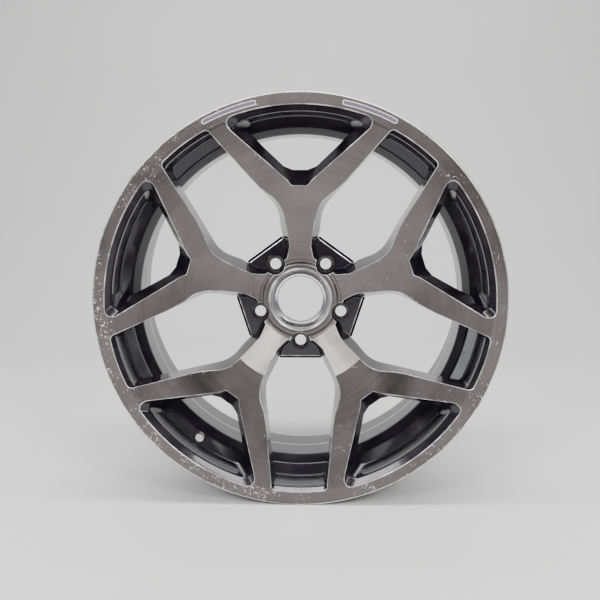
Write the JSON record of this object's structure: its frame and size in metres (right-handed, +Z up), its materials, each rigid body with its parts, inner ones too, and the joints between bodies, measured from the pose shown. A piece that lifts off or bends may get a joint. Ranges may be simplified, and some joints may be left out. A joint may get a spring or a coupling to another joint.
{
  "type": "forged racing wheel rim",
  "caption": "Deep-dished forged wheel rim: split-arm spokes with diamond-cut face, gloss black windows and barrel, drop centre with valve hole, bolt-on hub.",
  "frame": {"origin": "on the wheel axis, in the plane of the hub mounting face", "axes": "+Y along the axis towards the inboard side (the face looks to -Y), +Z up, +X to the right seen from the face"},
  "size_m": [0.5172, 0.241, 0.5172],
  "materials": {
    "machined_face": "diamond-cut, smoked clear coat",
    "black_paint": "gloss black",
    "bare_alloy": "bright turned",
    "stripe_paint": "satin grey fill, white outline"
  },
  "bodies": {
    "root": {"lip_ring": "machined_face", "outboard_bead_seat": "black_paint", "drop_centre": "black_paint", "inner_barrel": "black_paint", "inboard_bead_seat": "black_paint", "inboard_flange": "black_paint", "hub_flange": "machined_face", "nose_ring": "machined_face", "cap_seat_ring": "bare_alloy", "hub_bore_sleeve": "bare_alloy", "mounting_pad": "bare_alloy", "stripe_left": "stripe_paint", "stripe_right": "stripe_paint", "spoke_top": "machined_face", "spoke_upper_left": "machined_face", "spoke_lower_left": "machined_face", "spoke_lower_right": "machined_face", "spoke_upper_right": "machined_face", "nut_boss_upper_left": "black_paint", "nut_boss_left": "black_paint", "nut_boss_bottom": "black_paint", "nut_boss_right": "black_paint", "nut_boss_upper_right": "black_paint"}
  },
  "joints": []
}
